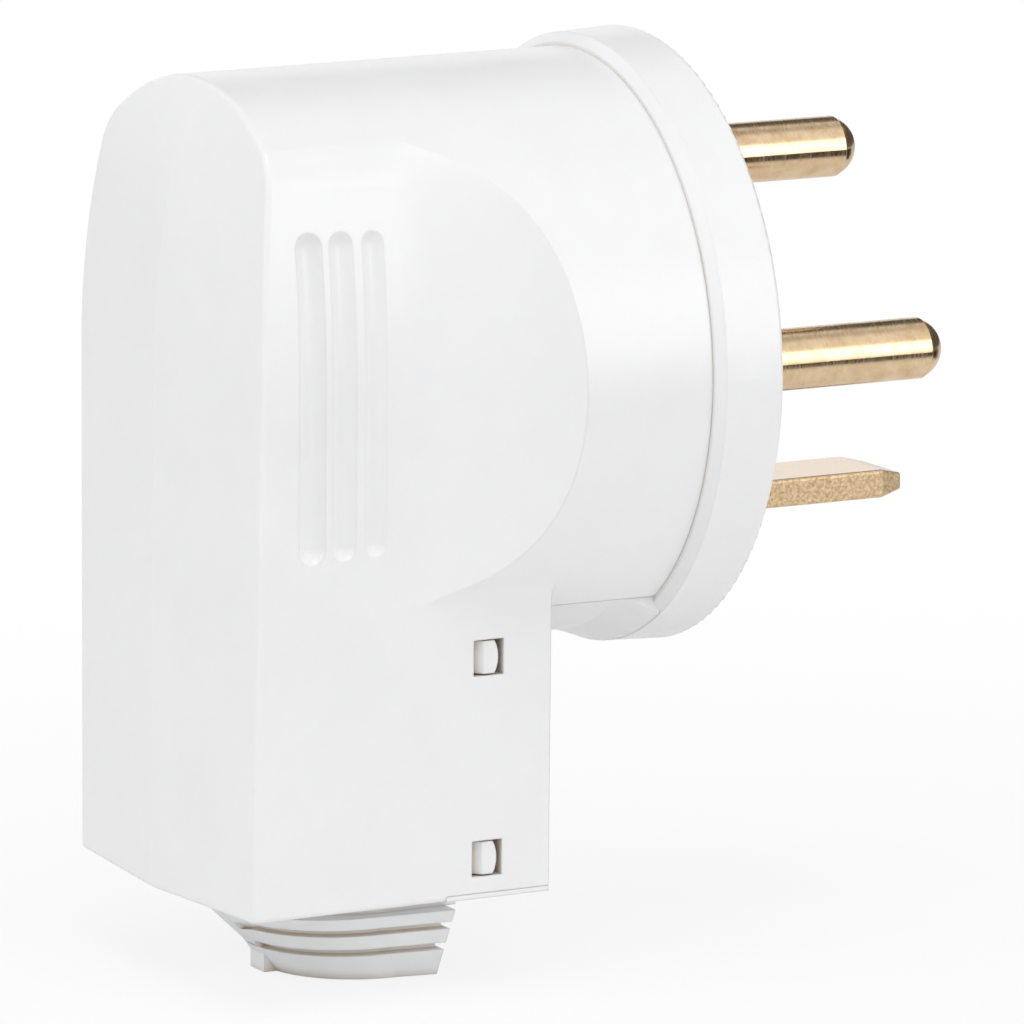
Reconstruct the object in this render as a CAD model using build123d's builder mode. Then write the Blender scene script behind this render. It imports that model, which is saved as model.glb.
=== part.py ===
from build123d import *
import math
import os

os.makedirs("parts", exist_ok=True)

# A side-entry three-phase plug with earth, as used on cookers and ovens.
# The origin is the centre of the face that meets the socket. The pins point
# along +Y into the socket, the lead leaves downwards along -Z, and every
# "depth" below is the distance behind that face, along -Y.

# Pins and blade
pin_diameter = 6.0
pin_length = 24.35           # in front of the face, tip included
pin_root_radius = 3.2        # thicker root inside the base
pin_tip_height = 2.1         # height of the domed tip
pin_tip_inset = 0.12         # small ring where the dome starts
line_pin_places = [(0.0, 16.8), (17.0, -0.8), (-17.0, -0.8)]
blade_place = (0.0, -16.6)
blade_width = 8.8
blade_thickness = 2.8
blade_length = 28.0
blade_tip_length = 2.3       # bevelled length at the end of the blade
blade_tip_step = 0.55        # how far each bevel comes in
blade_edge_radius = 0.35

# Base, the front moulding that carries the pins
rim_radius = 30.0
rim_draft = 0.3              # the rim is this much smaller at its back edge
rim_depth = 6.0
rim_edge_radius = 0.35
rim_chamfer_depth = 0.8      # slope from the rim down to the parting line
rim_chamfer_drop = 0.95
face_wall = 4.0              # front wall around the pins
pin_seat_depth = 6.0         # where the pin collars sit
pin_seat_margin = 1.6
spigot_wall = 1.8
spigot_length = 4.7          # how far the base reaches into the cover
bridge_recess = 0.25         # the strip under the cover lies this much deeper
bridge_thickness = 2.0
flare_start = (29.7, 6.2)    # radius and depth where the strip leaves the rim
flare_middle = (28.65, 9.0)
flare_end_depth = 10.9
leg_wall = 2.2

# Cover, the back moulding
cover_front_radius = 28.4
cover_back_radius = 28.15
crown_stand = 0.15           # the top of the grip is trimmed this far outside the round part
cover_wall = 2.2
floor_wall = 1.8             # bottom of the lower housing
body_half_width = 19.95      # at the height of the face centre
body_bottom_half_width = 18.95
body_bottom = 50.0           # bottom of the housing below the face centre
body_front_depth = 19.4      # front of the lower housing
body_back_depth = 51.9       # ridge of the back at the face centre height
body_back_slope = 0.75       # the ridge stands this much further out at the bottom
back_top_radius = 102.0      # bend of the ridge above the centre
back_side_top_radius = 195.0 # the back bends less to the side, here one rim radius out
ridge_fall = 0.085           # the back falls away from the ridge by this slope
back_bend_length = 51.0      # the bend is drawn on past the top of the housing
side_lean_radius = 90.0      # bend of the sides above the centre
shoulder_radius = 7.0
scoop_radius = 18.0          # finger scoop behind the round part
scoop_start_depth = 17.4
back_edge_radius = 0.5       # all round the back and the bottom
seam_radius = 3.5            # hollow curve where the round part meets the lower side
slot_half_width = 17.0       # the cover is open this wide towards the base
housing_top = -5.0           # the lower housing runs up into the round part to this height

# Grip grooves in the sides of the cover
groove_count = 3
groove_depths = [0.85, 0.65, 0.5]
groove_radius = 1.55
groove_first_depth = 44.9
groove_pitch = 3.35
groove_top = 14.2
groove_bottom = -14.6

# Latches at the lower end
latch_heights = [-26.5, -46.1]
window_height = 3.5
window_front_depth = 24.5
window_back_depth = 27.7
latch_gap = 0.15
hook_recess = 0.15           # the hook's face lies this far below the side
hook_corner_gap = 0.9        # open part of the window in front of the hook's corners
hook_bulge = 0.4             # the hook's front edge is rounded by this much
hook_ramp = 1.0              # the hook's back edge slopes in by this, over the same length
tab_height = 8.0
tab_thickness = 2.0
tab_overrun = 1.6            # the tab goes on behind the window
foot_plate_height = 0.5      # the base shows this much under the cover, in front
foot_plate_depth = 30.4

# Terminals
collar_diameter = 9.4
collar_thickness = 2.0
head_diameter = 8.4
head_length = 12.0
blade_collar_width = 12.0
blade_collar_height = 6.0
blade_head_size = 9.0
wire_hole_diameter = 4.8
wire_hole_offset = 3.4       # from the retainer to the middle of the wire hole
clamp_screw_diameter = 4.0
clamp_screw_head_diameter = 6.4
clamp_screw_head_height = 2.2
clamp_screw_stand = 0.4      # head above the terminal
clamp_screw_reach = 1.2      # screw tip inside the wire hole
clamp_plate_thickness = 0.8
clamp_plate_diameter = 3.6
screw_slot_width = 0.9
screw_slot_depth = 1.0

# Retainer, the insulating plate that keeps the pins in the base
retainer_thickness = 2.0
retainer_wall_height = 9.0
retainer_wall_thickness = 1.4
retainer_wall_inner = 8.0
retainer_wall_outer = 21.0
retainer_wall_angles = [45, 135, 225, 315]
retainer_screw_places = [(8.8, 2.5), (-8.8, 2.5)]
retainer_screw_diameter = 3.0
retainer_screw_length = 5.0
retainer_screw_head_diameter = 5.4
retainer_screw_head_height = 1.9
boss_wall = 1.5

# Screw that holds the two mouldings together
cover_screw_place = (0.0, -5.5)
cover_screw_diameter = 3.5
cover_screw_head_diameter = 7.0
cover_screw_head_height = 2.0
cover_screw_recess = 1.2
cover_screw_length = 24.0
post_diameter = 8.0

# Strain relief
clamp_height = -40.0
clamp_bar_width = 29.0
clamp_bar_height = 8.0
clamp_bar_thickness = 4.0
clamp_bar_depth = 36.0       # front of the bar
clamp_bar_arch = 2.2
cord_screw_spacing = 22.0
saddle_depth = 28.0          # the rib under the cord reaches this far
saddle_half_width = 7.0
saddle_thickness = 3.0
cord_screw_diameter = 3.4
cord_screw_length = 12.0
cord_screw_head_diameter = 6.2
cord_screw_head_height = 2.2

# Cable boot
cord_hole_diameter = 11.0
cord_hole_depth = 33.3       # centre of the cord behind the face
boot_length = 9.3            # below the housing
boot_bottom_half_width = 9.2
boot_bottom_front = 26.8
boot_bottom_back = 40.0
boot_front_spread = 0.7      # the front corners stand this much wider
boot_side_flare = 0.22       # growth of each side for each mm upwards
boot_back_flare = 0.7        # growth of the back for each mm upwards
boot_front_lean = 0.2        # the front comes forward by this for each mm upwards
boot_groove_tops = [3.2, 5.3]
boot_groove_height = 0.5     # straight part of a groove
boot_groove_slope = 0.2      # sloped edge of the rib under it
boot_groove_depth = 0.7
boot_collar_bottom = 6.5     # above this the boot is a recessed collar
boot_web_width = 3.0
boot_web_foot_half_width = 5.0
boot_web_foot_reach = 3.3    # the ribs run out to the web over this depth
boot_web_stand = 1.2         # web behind the boot at its bottom
boot_web_top_depth = 48.7
boot_web_knee = 2.1          # height of the web's bend above the bottom
boot_neck_half_width = 9.4
boot_neck_front = 24.4
boot_neck_back = 41.5
boot_flange_overlap = 2.0
boot_flange_thickness = 2.0

# Clearances between pieces
fit_gap = 0.2                # push fits between mouldings
screw_gap = 0.05             # screw in its thread
hole_gap = 0.15              # pin or screw in a plain hole
seat_gap = 0.02              # flat faces that nearly touch

# Helpers for building
weld = 0.5                   # parts of one moulding run into each other by this much
overcut = 5.0                # cutting and trimming shapes go on past the solid by this much
screw_hole_run = 0.5         # a blind hole goes on past the tip of its screw
edge_margin = 2.0            # an edge is looked for this close to its place
plane_margin = 0.01          # the same for an edge that lies in a known plane
shortest_edge = 1.0          # shorter edges are left sharp

# Places that follow from the sizes above
rim_back_radius = rim_radius - rim_draft
seat_depth = rim_depth + rim_chamfer_depth
bore_radius = cover_front_radius - cover_wall
spigot_radius = bore_radius - fit_gap
bridge_radius = cover_front_radius - bridge_recess
retainer_depth = pin_seat_depth + collar_thickness
head_end_depth = retainer_depth + head_length
wire_depth = retainer_depth + retainer_thickness + wire_hole_offset
retainer_radius = spigot_radius - spigot_wall - fit_gap
inner_half_width = slot_half_width - fit_gap
side_slope = (body_half_width - body_bottom_half_width) / body_bottom
pin_radius = pin_diameter / 2
leg_front_depth = body_front_depth
leg_back_depth = leg_front_depth + leg_wall
back_inner_depth = body_back_depth - cover_wall
post_front_depth = retainer_depth + seat_gap
cover_screw_seat = cover_screw_recess + cover_screw_head_height
clamp_screw_seat = head_end_depth + clamp_screw_stand
clamp_screw_tip = wire_depth + wire_hole_diameter / 2 - clamp_screw_reach
floor_top = floor_wall - body_bottom
cord_screw_places = [(cord_screw_spacing / 2, clamp_height), (-cord_screw_spacing / 2, clamp_height)]
boot_bottom = -body_bottom - boot_length


def save(piece, name):
    piece.label = name
    export_step(piece, f"parts/{name}.step")


def side_x(height, inset=0.0):
    """Half-width of the housing below the face centre."""
    return body_half_width + side_slope * height - inset


def side_lean_centre():
    """Centre of the arc by which the side leans in above the face centre."""
    tilt = math.atan(side_slope)
    return Vector(body_half_width - side_lean_radius * math.cos(tilt), side_lean_radius * math.sin(tilt))


def arch_outline(inset, bottom):
    """Front outline of the gripping part: leaning sides, round shoulders and a round top."""
    lean = side_lean_centre()
    top_radius = cover_back_radius + crown_stand
    to_shoulder = side_lean_radius - shoulder_radius
    top_reach = top_radius - shoulder_radius
    span = lean.length
    along = (to_shoulder**2 - top_reach**2 + span**2) / (2 * span)
    across = math.sqrt(to_shoulder**2 - along**2)
    aim = -lean.normalized()
    shoulder = lean + aim * along + Vector(-aim.Y, aim.X) * across
    low_angle = -math.degrees(math.atan(side_slope))
    shoulder_angle = math.degrees(math.atan2(shoulder.Y - lean.Y, shoulder.X - lean.X))
    top_angle = math.degrees(math.atan2(shoulder.Y, shoulder.X))
    with BuildLine() as outline:
        side = CenterArc(lean, side_lean_radius - inset, low_angle, shoulder_angle - low_angle)
        turn = CenterArc(shoulder, shoulder_radius - inset, shoulder_angle, top_angle - shoulder_angle)
        CenterArc((0, 0), top_radius - inset, top_angle, 90 - top_angle)
        foot = (side_x(-bottom, inset), -bottom)
        Line(foot, side @ 0)
        Line((0, -bottom), foot)
        mirror(about=Plane.YZ)
    return outline.edges()


def back_profile(inset, side=False):
    """Side outline of everything in front of the back, at the ridge or one rim radius to the side."""
    reach = 2 * rim_radius
    depth = body_back_depth - inset
    radius = back_top_radius - inset
    if side:
        depth -= ridge_fall * rim_radius
        radius = back_side_top_radius - inset
    knee = Vector(-depth, 0)
    low = Vector(-depth - body_back_slope * reach / body_bottom, -reach)
    rise = (knee - low).normalized()
    centre = knee + Vector(rise.Y, -rise.X) * radius
    start = math.degrees(math.atan2(knee.Y - centre.Y, knee.X - centre.X))
    turn = math.degrees(back_bend_length / radius)
    with BuildLine() as outline:
        Line(low, knee)
        bend = CenterArc(centre, radius, start, -turn)
        Polyline(bend @ 1, (overcut, (bend @ 1).Y), (overcut, -reach), low)
    return outline.edges()


def housing(inset, low_half_width=None):
    """The cover's outer form, or with an inset the space inside it."""
    plate_size = 2 * (body_half_width + scoop_radius + cover_wall + overcut)
    scoop_plane = scoop_start_depth - inset
    low_end = cover_front_radius + overcut
    with BuildPart() as grip:
        with BuildSketch(Plane.XZ.offset(scoop_plane)):
            with Locations((0, plate_size / 2 - low_end)):
                Rectangle(plate_size, plate_size)
        extrude(amount=-scoop_plane - overcut)
        with BuildSketch(Plane.XZ.offset(scoop_plane)):
            make_face(arch_outline(inset, low_end))
        extrude(amount=body_back_depth)
        corner = (
            grip.edges()
            .filter_by_position(Axis.Y, -scoop_plane - plane_margin, -scoop_plane + plane_margin)
            .filter_by_position(Axis.X, -cover_front_radius, cover_front_radius)
            .filter_by_position(Axis.Z, -low_end + plane_margin, cover_front_radius + edge_margin)
        )
        fillet(corner, radius=scoop_radius + inset)
    start = seat_depth if inset == 0 else 0
    with BuildPart() as form:
        with BuildSketch(Plane.XZ.offset(start)):
            Circle(cover_front_radius - inset)
        with BuildSketch(Plane.XZ.offset(body_back_depth + overcut)):
            Circle(cover_back_radius - inset)
        loft()
        add(grip.part, mode=Mode.INTERSECT)
        lower_front = body_front_depth if inset == 0 else 0
        with BuildSketch(Plane.XZ.offset(lower_front)):
            with BuildLine():
                if low_half_width is None:
                    top_corner = (side_x(housing_top), housing_top)
                    foot = (side_x(-body_bottom), -body_bottom)
                else:
                    top_corner = (low_half_width, housing_top)
                    foot = (low_half_width, floor_top)
                Polyline((0, housing_top), top_corner, foot, (0, foot[1]))
                mirror(about=Plane.YZ)
            make_face()
        extrude(amount=body_back_depth)
    with BuildPart() as limits:
        for way in (1, -1):
            with BuildSketch(Plane.YZ):
                make_face(back_profile(inset))
            with BuildSketch(Plane.YZ.offset(way * rim_radius)):
                make_face(back_profile(inset, side=True))
            loft(ruled=True)
    with BuildPart() as body:
        add(form.part)
        add(limits.part, mode=Mode.INTERSECT)
    return body.part


# Cover: the round part, the scooped grip and the lower housing in one moulding
with BuildPart() as shell:
    add(housing(0))
    seam_drop = math.sqrt(cover_front_radius**2 - body_half_width**2)
    seams = (
        shell.edges()
        .filter_by_position(Axis.Z, -seam_drop - edge_margin, -seam_drop + edge_margin)
        .filter_by_position(Axis.Y, -2 * scoop_radius, -scoop_start_depth)
        .filter_by(lambda edge: abs((edge @ 0.5).X) > body_bottom_half_width)
    )
    fillet(seams, radius=seam_radius)
    # The outer edges of the back, without the ridge in its middle and those that run forwards
    back_edges = (
        shell.edges()
        .filter_by_position(Axis.Y, -body_back_depth - edge_margin, -body_back_depth + 3 * edge_margin)
        .filter_by(lambda edge: edge.length > shortest_edge)
        .filter_by(lambda edge: abs(edge.tangent_at(0.5).Y) < 0.5)
        .filter_by(lambda edge: abs((edge @ 0.5).X) > edge_margin)
    )
    bottom_edges = shell.edges().group_by(Axis.Z)[0]
    fillet(ShapeList(set(back_edges + bottom_edges)), radius=back_edge_radius)
    add(housing(cover_wall, slot_half_width), mode=Mode.SUBTRACT)

with BuildPart() as grip_cutter:
    for number in range(groove_count):
        sink = groove_radius - groove_depths[number]
        tilt = math.degrees(math.atan(side_slope))
        lean = side_lean_centre()
        rise = math.degrees(math.asin((groove_top - lean.Y) / side_lean_radius)) + tilt
        with BuildLine() as path:
            bend = CenterArc(lean, side_lean_radius + sink, -tilt, rise)
            Line((side_x(groove_bottom, -sink), groove_bottom), bend @ 0)
        groove_plane = Plane.XZ.offset(groove_first_depth - number * groove_pitch)
        route = groove_plane.from_local_coords(path.wires()[0])
        with BuildSketch(Plane(route @ 0, z_dir=route % 0)):
            Circle(groove_radius)
        sweep(path=route)
        with Locations(route @ 0, route @ 1):
            Sphere(groove_radius)
    mirror(about=Plane.YZ)

with BuildPart() as cover:
    add(shell.part)
    add(grip_cutter.part, mode=Mode.SUBTRACT)
    # The underside is open towards the base for the width of the slot
    with BuildSketch(Plane.XZ):
        with Locations((0, -body_bottom)):
            Rectangle(2 * slot_half_width, body_bottom, align=(Align.CENTER, Align.MIN))
        Circle(bore_radius, mode=Mode.SUBTRACT)
    extrude(amount=leg_back_depth + fit_gap, mode=Mode.SUBTRACT)
    # Opening in the bottom for the neck of the boot
    with BuildSketch(Plane.XY.offset(-body_bottom)):
        with Locations((0, -body_front_depth)):
            Rectangle(
                2 * boot_neck_half_width,
                boot_neck_back - body_front_depth - boot_neck_half_width,
                align=(Align.CENTER, Align.MAX),
            )
        with Locations((0, -boot_neck_back + boot_neck_half_width)):
            Circle(boot_neck_half_width)
    extrude(amount=floor_wall, mode=Mode.SUBTRACT)
    # Room for the foot plate of the base
    with BuildSketch(Plane.XY.offset(-body_bottom)):
        Rectangle(4 * body_half_width, foot_plate_depth + seat_gap, align=(Align.CENTER, Align.MAX))
    extrude(amount=foot_plate_height + seat_gap, mode=Mode.SUBTRACT)
    # Post for the screw that comes through the base
    with BuildSketch(Plane.XZ.offset(post_front_depth)):
        with Locations(cover_screw_place):
            Circle(post_diameter / 2)
    extrude(amount=back_inner_depth + weld - post_front_depth)
    with BuildSketch(Plane.XZ.offset(post_front_depth)):
        with Locations(cover_screw_place):
            Circle(cover_screw_diameter / 2 + screw_gap)
    cover_screw_tip = cover_screw_seat + cover_screw_length
    extrude(amount=cover_screw_tip + screw_hole_run - post_front_depth, mode=Mode.SUBTRACT)
    # Windows for the latches
    for height in latch_heights:
        with Locations((0, -(window_front_depth + window_back_depth) / 2, height)):
            Box(
                3 * body_half_width,
                window_back_depth - window_front_depth,
                window_height,
                mode=Mode.SUBTRACT,
            )
save(cover.part, "cover")

# Base: disc, spigot, the strip that closes the underside and the leg with its latches
with BuildPart() as disc:
    with BuildSketch(Plane.XZ):
        Circle(rim_radius)
    with BuildSketch(Plane.XZ.offset(rim_depth)):
        Circle(rim_back_radius)
    loft()
    fillet(disc.edges().filter_by_position(Axis.Y, -0.01, 0.01), radius=rim_edge_radius)
    with BuildSketch(Plane.XZ.offset(rim_depth)):
        Circle(rim_back_radius)
    with BuildSketch(Plane.XZ.offset(seat_depth)):
        Circle(rim_back_radius - rim_chamfer_drop)
    loft()
    with BuildSketch(Plane.XZ.offset(face_wall)):
        Circle(spigot_radius - spigot_wall)
    extrude(amount=seat_depth, mode=Mode.SUBTRACT)
    with BuildSketch(Plane.XZ.offset(seat_depth)):
        Circle(spigot_radius)
        Circle(spigot_radius - spigot_wall, mode=Mode.SUBTRACT)
    extrude(amount=spigot_length)

with BuildPart() as flare:
    with BuildSketch(Plane.XY):
        with BuildLine():
            flare_end = (bridge_radius, -flare_end_depth)
            ThreePointArc(
                (flare_start[0], -flare_start[1]), (flare_middle[0], -flare_middle[1]), flare_end
            )
            corner = (bridge_radius - bridge_thickness / 2, -flare_end_depth)
            Polyline(flare_end, corner, (corner[0], -flare_start[1]), (flare_start[0], -flare_start[1]))
        make_face()
    revolve(axis=Axis.Y)
    with Locations((0, 0, -rim_radius)):
        Box(2 * inner_half_width, 2 * rim_radius, rim_radius, mode=Mode.INTERSECT)


def latch_hook(height):
    """Hook at the near side: rounded in front, with a ramp at the back that slides into the window."""
    reach = side_x(height) - hook_recess
    half_height = window_height / 2 - latch_gap
    front = -(window_front_depth + hook_corner_gap)
    back = -(window_back_depth - latch_gap)
    with BuildPart() as hook:
        with BuildSketch(Plane.YZ.offset(inner_half_width - tab_thickness / 2)):
            with BuildLine():
                top = (front, height + half_height)
                foot = (front, height - half_height)
                ThreePointArc(foot, (front + hook_bulge, height), top)
                Polyline(top, (back, height + half_height), (back, height - half_height), foot)
            make_face()
        extrude(amount=reach - inner_half_width + tab_thickness / 2)
        with BuildSketch(Plane.XY.offset(height)):
            with BuildLine():
                Polyline(
                    (0, back),
                    (reach - hook_ramp, back),
                    (reach, back + hook_ramp),
                    (reach, 0),
                    (0, 0),
                    close=True,
                )
            make_face()
        extrude(amount=window_height, both=True, mode=Mode.INTERSECT)
    return hook.part


hooks = [latch_hook(height) for height in latch_heights]

with BuildPart() as base:
    add(disc.part)
    # Strip under the round part of the cover, carried on to the leg
    with BuildSketch(Plane.XZ.offset(seat_depth - weld)):
        Circle(bridge_radius)
        Circle(bridge_radius - bridge_thickness, mode=Mode.SUBTRACT)
        with Locations((0, -rim_radius / 2)):
            Rectangle(2 * inner_half_width, rim_radius, mode=Mode.INTERSECT)
    extrude(amount=leg_back_depth - seat_depth + weld)
    with BuildSketch(Plane.XZ.offset(leg_front_depth)):
        with Locations((0, -body_bottom)):
            Rectangle(2 * inner_half_width, body_bottom, align=(Align.CENTER, Align.MIN))
        Circle(bridge_radius - bridge_thickness, mode=Mode.SUBTRACT)
    extrude(amount=leg_wall)
    # Foot of the leg, which closes the floor in front of the boot
    with Locations((0, -leg_back_depth + weld, -body_bottom)):
        Box(
            2 * (boot_neck_half_width - fit_gap),
            boot_neck_front - leg_back_depth - fit_gap + weld,
            floor_wall,
            align=(Align.CENTER, Align.MAX, Align.MIN),
        )
    # Plate under the front of the cover, open for the neck of the boot
    with BuildSketch(Plane.XY.offset(-body_bottom)):
        with BuildLine():
            plate_half_width = side_x(-body_bottom)
            Polyline(
                (0, -leg_front_depth),
                (plate_half_width, -leg_front_depth),
                (plate_half_width, -foot_plate_depth),
                (boot_neck_half_width, -foot_plate_depth),
                (boot_neck_half_width, -boot_neck_front + fit_gap),
                (0, -boot_neck_front + fit_gap),
            )
            mirror(about=Plane.YZ)
        make_face()
    extrude(amount=foot_plate_height)
    # Latch tabs and hooks
    tab_depth = window_back_depth + tab_overrun
    for height, hook in zip(latch_heights, hooks):
        low = height - window_height / 2 + latch_gap
        for side in (1, -1):
            with Locations((side * (inner_half_width - tab_thickness / 2), -leg_back_depth + weld, low)):
                Box(
                    tab_thickness,
                    tab_depth - leg_back_depth + weld,
                    tab_height,
                    align=(Align.CENTER, Align.MAX, Align.MIN),
                )
        add(hook)
        mirror(hook, about=Plane.YZ)
    # The strip runs out into the rim in a hollow curve
    add(flare.part)
    # Seats for the pins, the blade, the retainer screws and the cover screw
    with BuildSketch(Plane.XZ.offset(face_wall)):
        with Locations(*line_pin_places):
            Circle(collar_diameter / 2 + pin_seat_margin)
        with Locations(blade_place):
            Rectangle(
                blade_collar_width + 2 * pin_seat_margin, blade_collar_height + 2 * pin_seat_margin
            )
    extrude(amount=pin_seat_depth - face_wall)
    with BuildSketch(Plane.XZ.offset(face_wall)):
        with Locations(*retainer_screw_places):
            Circle(retainer_screw_diameter / 2 + boss_wall)
        with Locations(cover_screw_place):
            Circle(post_diameter / 2)
    extrude(amount=retainer_depth - face_wall)
    with BuildSketch(Plane.XZ):
        with Locations(*line_pin_places):
            Circle(pin_root_radius + hole_gap)
        with Locations(blade_place):
            Rectangle(blade_width + 2 * hole_gap, blade_thickness + 2 * hole_gap)
    extrude(amount=pin_seat_depth, mode=Mode.SUBTRACT)
    with BuildSketch(Plane.XZ):
        with Locations(cover_screw_place):
            Circle(cover_screw_head_diameter / 2 + hole_gap)
    extrude(amount=cover_screw_seat, mode=Mode.SUBTRACT)
    with BuildSketch(Plane.XZ):
        with Locations(cover_screw_place):
            Circle(cover_screw_diameter / 2 + hole_gap)
    extrude(amount=retainer_depth, mode=Mode.SUBTRACT)
    retainer_screw_tip = retainer_depth + retainer_thickness - retainer_screw_length
    with BuildSketch(Plane.XZ.offset(retainer_screw_tip - screw_hole_run)):
        with Locations(*retainer_screw_places):
            Circle(retainer_screw_diameter / 2 + screw_gap)
    extrude(amount=retainer_screw_length, mode=Mode.SUBTRACT)
    # Posts for the cord clamp
    with BuildSketch(Plane.XZ.offset(leg_front_depth + weld)):
        with Locations(*cord_screw_places):
            Circle(cord_screw_diameter / 2 + boss_wall)
    extrude(amount=clamp_bar_depth - leg_front_depth - weld)
    cord_screw_tip = clamp_bar_depth + clamp_bar_thickness - cord_screw_length
    with BuildSketch(Plane.XZ.offset(cord_screw_tip - screw_hole_run)):
        with Locations(*cord_screw_places):
            Circle(cord_screw_diameter / 2 + screw_gap)
    extrude(amount=cord_screw_length, mode=Mode.SUBTRACT)
    # Rib that the cord lies on
    with BuildSketch(Plane.XY.offset(clamp_height - saddle_thickness / 2)):
        with Locations((0, -leg_back_depth + weld)):
            Rectangle(
                2 * saddle_half_width,
                saddle_depth + clamp_bar_arch - leg_back_depth,
                align=(Align.CENTER, Align.MAX),
            )
        with Locations((0, -cord_hole_depth)):
            Circle(cord_hole_diameter / 2, mode=Mode.SUBTRACT)
    extrude(amount=saddle_thickness)
save(base.part, "base")


# Wire hole upwards through a terminal head, and the thread that meets it from the back
with BuildPart() as terminal_holes:
    with Locations((0, -wire_depth, 0)):
        Cylinder(wire_hole_diameter / 2, 2 * blade_head_size)
    with BuildSketch(Plane.XZ.offset(wire_depth)):
        Circle(clamp_screw_diameter / 2 + screw_gap)
    extrude(amount=head_end_depth - wire_depth + overcut)

# Line pins: turned brass, with a collar, a round terminal head and a domed tip
with BuildPart() as line_pin:
    with BuildSketch(Plane.XY):
        with BuildLine():
            dome_reach = pin_radius - pin_tip_inset
            dome_radius = (dome_reach**2 + pin_tip_height**2) / (2 * pin_tip_height)
            dome_start = math.degrees(math.acos(dome_reach / dome_radius))
            dome = CenterArc((0, pin_length - dome_radius), dome_radius, dome_start, 90 - dome_start)
            Polyline(
                dome @ 0,
                (pin_radius, pin_length - pin_tip_height - pin_tip_inset),
                (pin_radius, 0),
                (pin_root_radius, 0),
                (pin_root_radius, -pin_seat_depth - seat_gap),
                (collar_diameter / 2, -pin_seat_depth - seat_gap),
                (collar_diameter / 2, -retainer_depth),
                (head_diameter / 2, -retainer_depth),
                (head_diameter / 2, -head_end_depth),
                (0, -head_end_depth),
                (0, pin_length),
            )
        make_face()
    revolve(axis=Axis.Y)
    add(terminal_holes.part, mode=Mode.SUBTRACT)

for number, place in enumerate(line_pin_places, 1):
    save(Location((place[0], 0, place[1])) * line_pin.part, f"line_pin_{number}")

# Earth blade: a flat bar with a bevelled tip, a collar and a square terminal head
with BuildPart() as earth_blade:
    with BuildSketch(Plane.XZ.offset(pin_seat_depth + seat_gap)):
        RectangleRounded(blade_width, blade_thickness, blade_edge_radius)
    extrude(amount=-(pin_seat_depth + seat_gap + blade_length - blade_tip_length))
    with BuildSketch(Plane.XZ.offset(-(blade_length - blade_tip_length))):
        RectangleRounded(blade_width, blade_thickness, blade_edge_radius)
    with BuildSketch(Plane.XZ.offset(-blade_length)):
        RectangleRounded(
            blade_width - 2 * blade_tip_step, blade_thickness - 2 * blade_tip_step, blade_edge_radius
        )
    loft()
    with BuildSketch(Plane.XZ.offset(pin_seat_depth + seat_gap)):
        Rectangle(blade_collar_width, blade_collar_height)
    extrude(amount=collar_thickness - seat_gap)
    with BuildSketch(Plane.XZ.offset(retainer_depth)):
        RectangleRounded(blade_head_size, blade_head_size, blade_edge_radius)
    extrude(amount=head_length)
    add(terminal_holes.part, mode=Mode.SUBTRACT)
save(Location((blade_place[0], 0, blade_place[1])) * earth_blade.part, "earth_blade")

# Terminal screws and the loose plates that press on the wire
terminal_places = line_pin_places + [blade_place]
with BuildPart() as terminal_screw:
    with BuildSketch(Plane.XZ.offset(clamp_screw_tip)):
        Circle(clamp_screw_diameter / 2)
    extrude(amount=clamp_screw_seat - clamp_screw_tip)
    with BuildSketch(Plane.XZ.offset(clamp_screw_seat)):
        Circle(clamp_screw_head_diameter / 2)
    extrude(amount=clamp_screw_head_height)
    head_back = clamp_screw_seat + clamp_screw_head_height
    with BuildSketch(Plane.XZ.offset(head_back)):
        Rectangle(2 * clamp_screw_head_diameter, screw_slot_width)
    extrude(amount=-screw_slot_depth, mode=Mode.SUBTRACT)

with BuildPart() as wire_clamp_plate:
    with BuildSketch(Plane.XZ.offset(clamp_screw_tip - seat_gap)):
        Circle(clamp_plate_diameter / 2)
    extrude(amount=-clamp_plate_thickness)

for number, place in enumerate(terminal_places, 1):
    move = Location((place[0], 0, place[1]))
    save(move * terminal_screw.part, f"terminal_screw_{number}")
    save(move * wire_clamp_plate.part, f"wire_clamp_plate_{number}")

# Retainer: holds the collars in their seats and keeps the four terminals apart
with BuildPart() as pin_retainer:
    with BuildSketch(Plane.XZ.offset(retainer_depth + seat_gap)):
        Circle(retainer_radius)
        with Locations(*line_pin_places):
            Circle(head_diameter / 2 + hole_gap, mode=Mode.SUBTRACT)
        with Locations(blade_place):
            Rectangle(
                blade_head_size + 2 * hole_gap, blade_head_size + 2 * hole_gap, mode=Mode.SUBTRACT
            )
        with Locations(*retainer_screw_places):
            Circle(retainer_screw_diameter / 2 + hole_gap, mode=Mode.SUBTRACT)
        with Locations(cover_screw_place):
            Circle(post_diameter / 2 + fit_gap, mode=Mode.SUBTRACT)
    extrude(amount=retainer_thickness)
    with BuildSketch(Plane.XZ.offset(retainer_depth + retainer_thickness)):
        for angle in retainer_wall_angles:
            middle = (retainer_wall_inner + retainer_wall_outer) / 2
            with PolarLocations(middle, 1, start_angle=angle):
                Rectangle(retainer_wall_outer - retainer_wall_inner, retainer_wall_thickness)
    extrude(amount=retainer_wall_height)
save(pin_retainer.part, "pin_retainer")


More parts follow.
